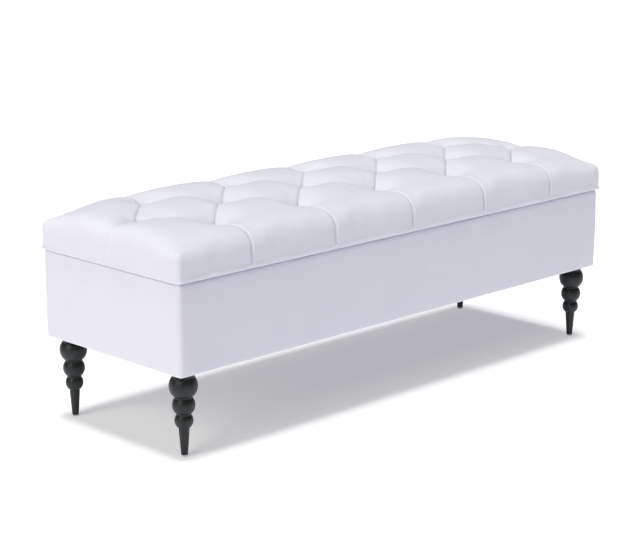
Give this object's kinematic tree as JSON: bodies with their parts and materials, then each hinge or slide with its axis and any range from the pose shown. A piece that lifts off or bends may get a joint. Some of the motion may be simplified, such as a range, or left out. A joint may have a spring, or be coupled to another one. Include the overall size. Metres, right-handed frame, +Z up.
{
  "type": "storage bench",
  "caption": "Upholstered storage bench: a padded box on turned legs with a diamond-tufted lid, hinged along the back and held open by gas struts.",
  "frame": {"origin": "on the floor, under the middle of the bench", "axes": "+Z up, +X along the bench to the sitter's left when seated facing front (-Y); -Y is the front, +Y the hinged back"},
  "size_m": [1.412, 0.4732, 0.503],
  "materials": {
    "velvet": "matte",
    "wadding": "matte",
    "lining": "matte",
    "dust_cloth": "matte",
    "felt": "matte",
    "foam": "matte",
    "twine": "matte",
    "timber": "matte",
    "black_lacquer": "satin",
    "zinc_steel": "satin",
    "black_steel": "satin",
    "polished_steel": "gloss"
  },
  "bodies": {
    "base": {"base_front_panel": "timber", "base_back_panel": "timber", "base_left_panel": "timber", "base_right_panel": "timber", "base_floor_panel": "timber", "corner_post_front_left": "timber", "corner_post_front_right": "timber", "corner_post_back_left": "timber", "corner_post_back_right": "timber", "bottom_rail_front": "timber", "bottom_rail_back": "timber", "cross_rails": "timber", "leg_block_front_left": "timber", "leg_block_front_right": "timber", "leg_block_back_left": "timber", "leg_block_back_right": "timber", "base_wadding": "wadding", "base_cover": "velvet", "box_lining": "lining", "dust_cover": "dust_cloth", "lid_bumpers": "felt", "leg_front_left": "black_lacquer", "leg_front_right": "black_lacquer", "leg_back_left": "black_lacquer", "leg_back_right": "black_lacquer", "leg_bolts": "zinc_steel", "leg_t_nuts": "zinc_steel", "foot_glides": "zinc_steel", "hinge_left_base_leaf": "zinc_steel", "hinge_left_pin": "zinc_steel", "hinge_center_base_leaf": "zinc_steel", "hinge_center_pin": "zinc_steel", "hinge_right_base_leaf": "zinc_steel", "hinge_right_pin": "zinc_steel", "hinge_base_screws": "zinc_steel", "strut_left_base_bracket": "black_steel", "strut_right_base_bracket": "black_steel", "strut_base_screws": "zinc_steel"},
    "lid": {"lid_board": "timber", "lid_foam": "foam", "lid_cover": "velvet", "lid_lining": "lining", "tuft_twines": "twine", "tuft_washers": "zinc_steel", "hinge_left_lid_leaf": "zinc_steel", "hinge_center_lid_leaf": "zinc_steel", "hinge_right_lid_leaf": "zinc_steel", "hinge_lid_screws": "zinc_steel", "strut_left_lid_bracket": "black_steel", "strut_right_lid_bracket": "black_steel", "strut_lid_screws": "zinc_steel"},
    "strut_left_rod_body": {"strut_left_rod": "polished_steel", "strut_left_rod_eye": "black_steel"},
    "strut_left_tube_body": {"strut_left_tube": "black_steel", "strut_left_tube_eye": "black_steel"},
    "strut_right_rod_body": {"strut_right_rod": "polished_steel", "strut_right_rod_eye": "black_steel"},
    "strut_right_tube_body": {"strut_right_tube": "black_steel", "strut_right_tube_eye": "black_steel"}
  },
  "joints": [
    {"name": "lid_hinge", "type": "hinge", "parent": "base", "child": "lid", "pos_m": [0, 0.2342, 0.3855], "axis": [-1, 0, 0], "range_deg": [0, 80], "stiffness_Nm_per_rad": 18, "springref_deg": 98.55},
    {"name": "strut_left_foot", "type": "hinge", "parent": "base", "child": "strut_left_rod_body", "pos_m": [-0.636, 0.195, 0.23244], "axis": [-1, 0, 0], "range_deg": [0, 40]},
    {"name": "strut_left_head", "type": "hinge", "parent": "lid", "child": "strut_left_tube_body", "pos_m": [-0.636, 0.07706, 0.369], "axis": [1, 0, 0], "range_deg": [0, 40]},
    {"name": "strut_right_foot", "type": "hinge", "parent": "base", "child": "strut_right_rod_body", "pos_m": [0.636, 0.195, 0.23244], "axis": [-1, 0, 0], "range_deg": [0, 40]},
    {"name": "strut_right_head", "type": "hinge", "parent": "lid", "child": "strut_right_tube_body", "pos_m": [0.636, 0.07706, 0.369], "axis": [1, 0, 0], "range_deg": [0, 40]}
  ],
  "couplings": [
    {"joint": "strut_left_foot", "follows": "lid_hinge", "ratio": 0.5},
    {"joint": "strut_left_head", "follows": "lid_hinge", "ratio": 0.5},
    {"joint": "strut_right_foot", "follows": "lid_hinge", "ratio": 0.5},
    {"joint": "strut_right_head", "follows": "lid_hinge", "ratio": 0.5}
  ]
}
